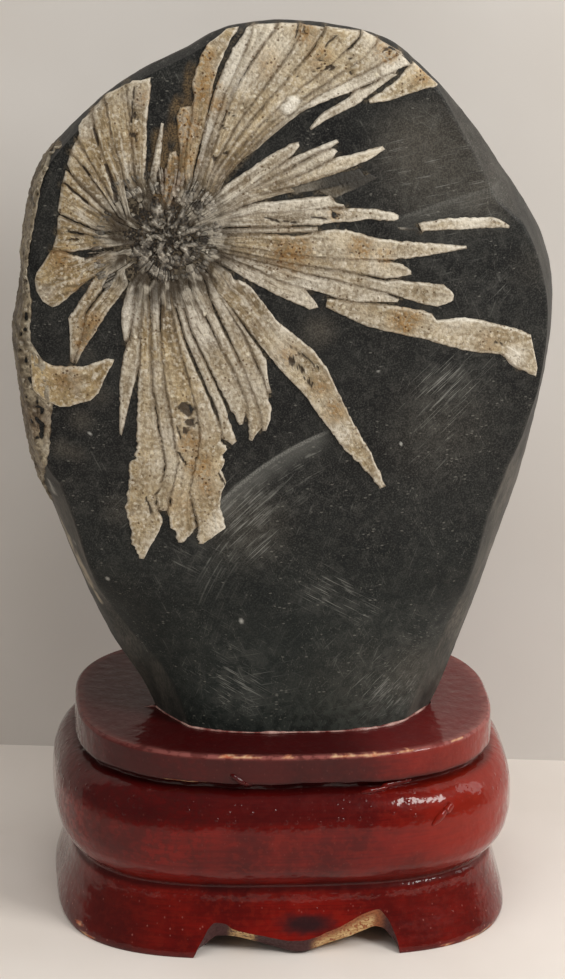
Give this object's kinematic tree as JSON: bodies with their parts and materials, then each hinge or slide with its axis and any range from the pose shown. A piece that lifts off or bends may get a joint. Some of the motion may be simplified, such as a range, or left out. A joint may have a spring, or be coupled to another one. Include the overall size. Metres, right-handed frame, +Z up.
{
  "type": "scholars rock",
  "caption": "Upright flat viewing stone with a ground front showing a burst of pale crystal blades, standing in a fitted bed in a low carved and lacquered oval wooden stand.",
  "frame": {"origin": "centre of the footprint of the whole object, on the surface that the stand rests on", "axes": "+Z up, -Y out of the stone's ground front, +X to the right as seen from the front"},
  "size_m": [0.149, 0.1012, 0.2621],
  "materials": {
    "stone": "ground charcoal limestone with cream crystal blades",
    "lacquered_wood": "deep cherry red gloss lacquer over carved wood"
  },
  "bodies": {
    "root": {"stone": "stone", "stand": "lacquered_wood"}
  },
  "joints": []
}
